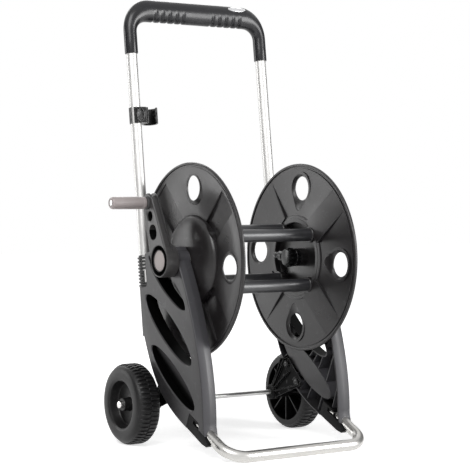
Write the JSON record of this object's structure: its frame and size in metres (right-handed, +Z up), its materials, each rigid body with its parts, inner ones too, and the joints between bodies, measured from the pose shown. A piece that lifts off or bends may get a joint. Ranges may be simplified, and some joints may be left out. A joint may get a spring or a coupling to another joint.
{
  "type": "garden hose trolley",
  "caption": "Wheeled hose reel trolley: moulded side panels carry an open drum with a crank, a telescopic tube handle, a bent-tube foot and two wheels.",
  "frame": {"origin": "on the floor, straight below the drum's axis, midway between the side panels", "axes": "+Z up, X across the cart along the drum's axis with the crank on -X, -Y is the front with the foot bar"},
  "size_m": [0.5093, 0.4083, 0.8931],
  "materials": {
    "panel_black": "fine moulded grain, satin",
    "cap_black": "moulded, satin",
    "drum_black": "smooth moulded, satin",
    "core_black": "black coated tube, satin",
    "wheel_black": "moulded, matt",
    "bracket_black": "moulded, matt",
    "tube_aluminium": "polished anodised tube",
    "tube_bright": "bright plated tube",
    "rod_steel": "drawn zinc-plated rod",
    "cap_bright": "pressed bright cap",
    "screw_steel": "zinc plated",
    "bush_nylon": "natural nylon",
    "seal_rubber": "moulded rubber",
    "inlet_plastic": "moulded, satin",
    "crank_black": "moulded, satin",
    "crank_disc": "light grey moulded disc",
    "crank_grip_grey": "warm grey moulded sleeve",
    "soft_grip": "soft-touch moulding, satin",
    "badge_silver": "bare bright oval plate"
  },
  "bodies": {
    "frame": {"left_panel": "panel_black", "right_panel": "panel_black", "left_tube_collar": "cap_black", "right_tube_collar": "cap_black", "left_foot_cap": "cap_black", "right_foot_cap": "cap_black", "foot_tube": "tube_bright", "axle": "rod_steel", "axle_caps": "cap_bright", "left_axle_bracket": "bracket_black", "right_axle_bracket": "bracket_black", "bracket_screws": "screw_steel", "left_bush": "bush_nylon", "right_bush": "bush_nylon", "inlet_spigot": "inlet_plastic", "spigot_seal": "seal_rubber"},
    "drum": {"left_flange": "drum_black", "right_flange": "drum_black", "core_tube_1": "core_black", "core_tube_2": "core_black", "core_tube_3": "core_black", "core_tube_4": "core_black", "swivel_elbow": "inlet_plastic", "hose_tail": "inlet_plastic", "crank_arm": "crank_black", "crank_cap": "crank_disc", "crank_bolt": "screw_steel", "crank_pin": "screw_steel"},
    "crank_grip": {"crank_grip": "crank_grip_grey"},
    "left_wheel": {"left_wheel": "wheel_black"},
    "right_wheel": {"right_wheel": "wheel_black"},
    "handle": {"handle_tube": "tube_aluminium", "handle_grip": "soft_grip", "grip_badge": "badge_silver", "handle_end_plugs": "cap_black", "nozzle_clip": "cap_black", "clip_screw": "screw_steel"}
  },
  "joints": [
    {"name": "drum_spin", "type": "hinge", "parent": "frame", "child": "drum", "pos_m": [0, 0, 0.368], "axis": [1, 0, 0], "continuous": true},
    {"name": "crank_grip_spin", "type": "hinge", "parent": "drum", "child": "crank_grip", "pos_m": [-0.244, 0.04477, 0.4788], "axis": [1, 0, 0], "continuous": true},
    {"name": "left_wheel_spin", "type": "hinge", "parent": "frame", "child": "left_wheel", "pos_m": [-0.1985, 0.115, 0.08], "axis": [1, 0, 0], "continuous": true},
    {"name": "right_wheel_spin", "type": "hinge", "parent": "frame", "child": "right_wheel", "pos_m": [0.1985, 0.115, 0.08], "axis": [1, 0, 0], "continuous": true},
    {"name": "handle_slide", "type": "slide", "parent": "frame", "child": "handle", "axis": [0, 0.1276, 0.9918], "range_m": [-0.075, 0]}
  ]
}
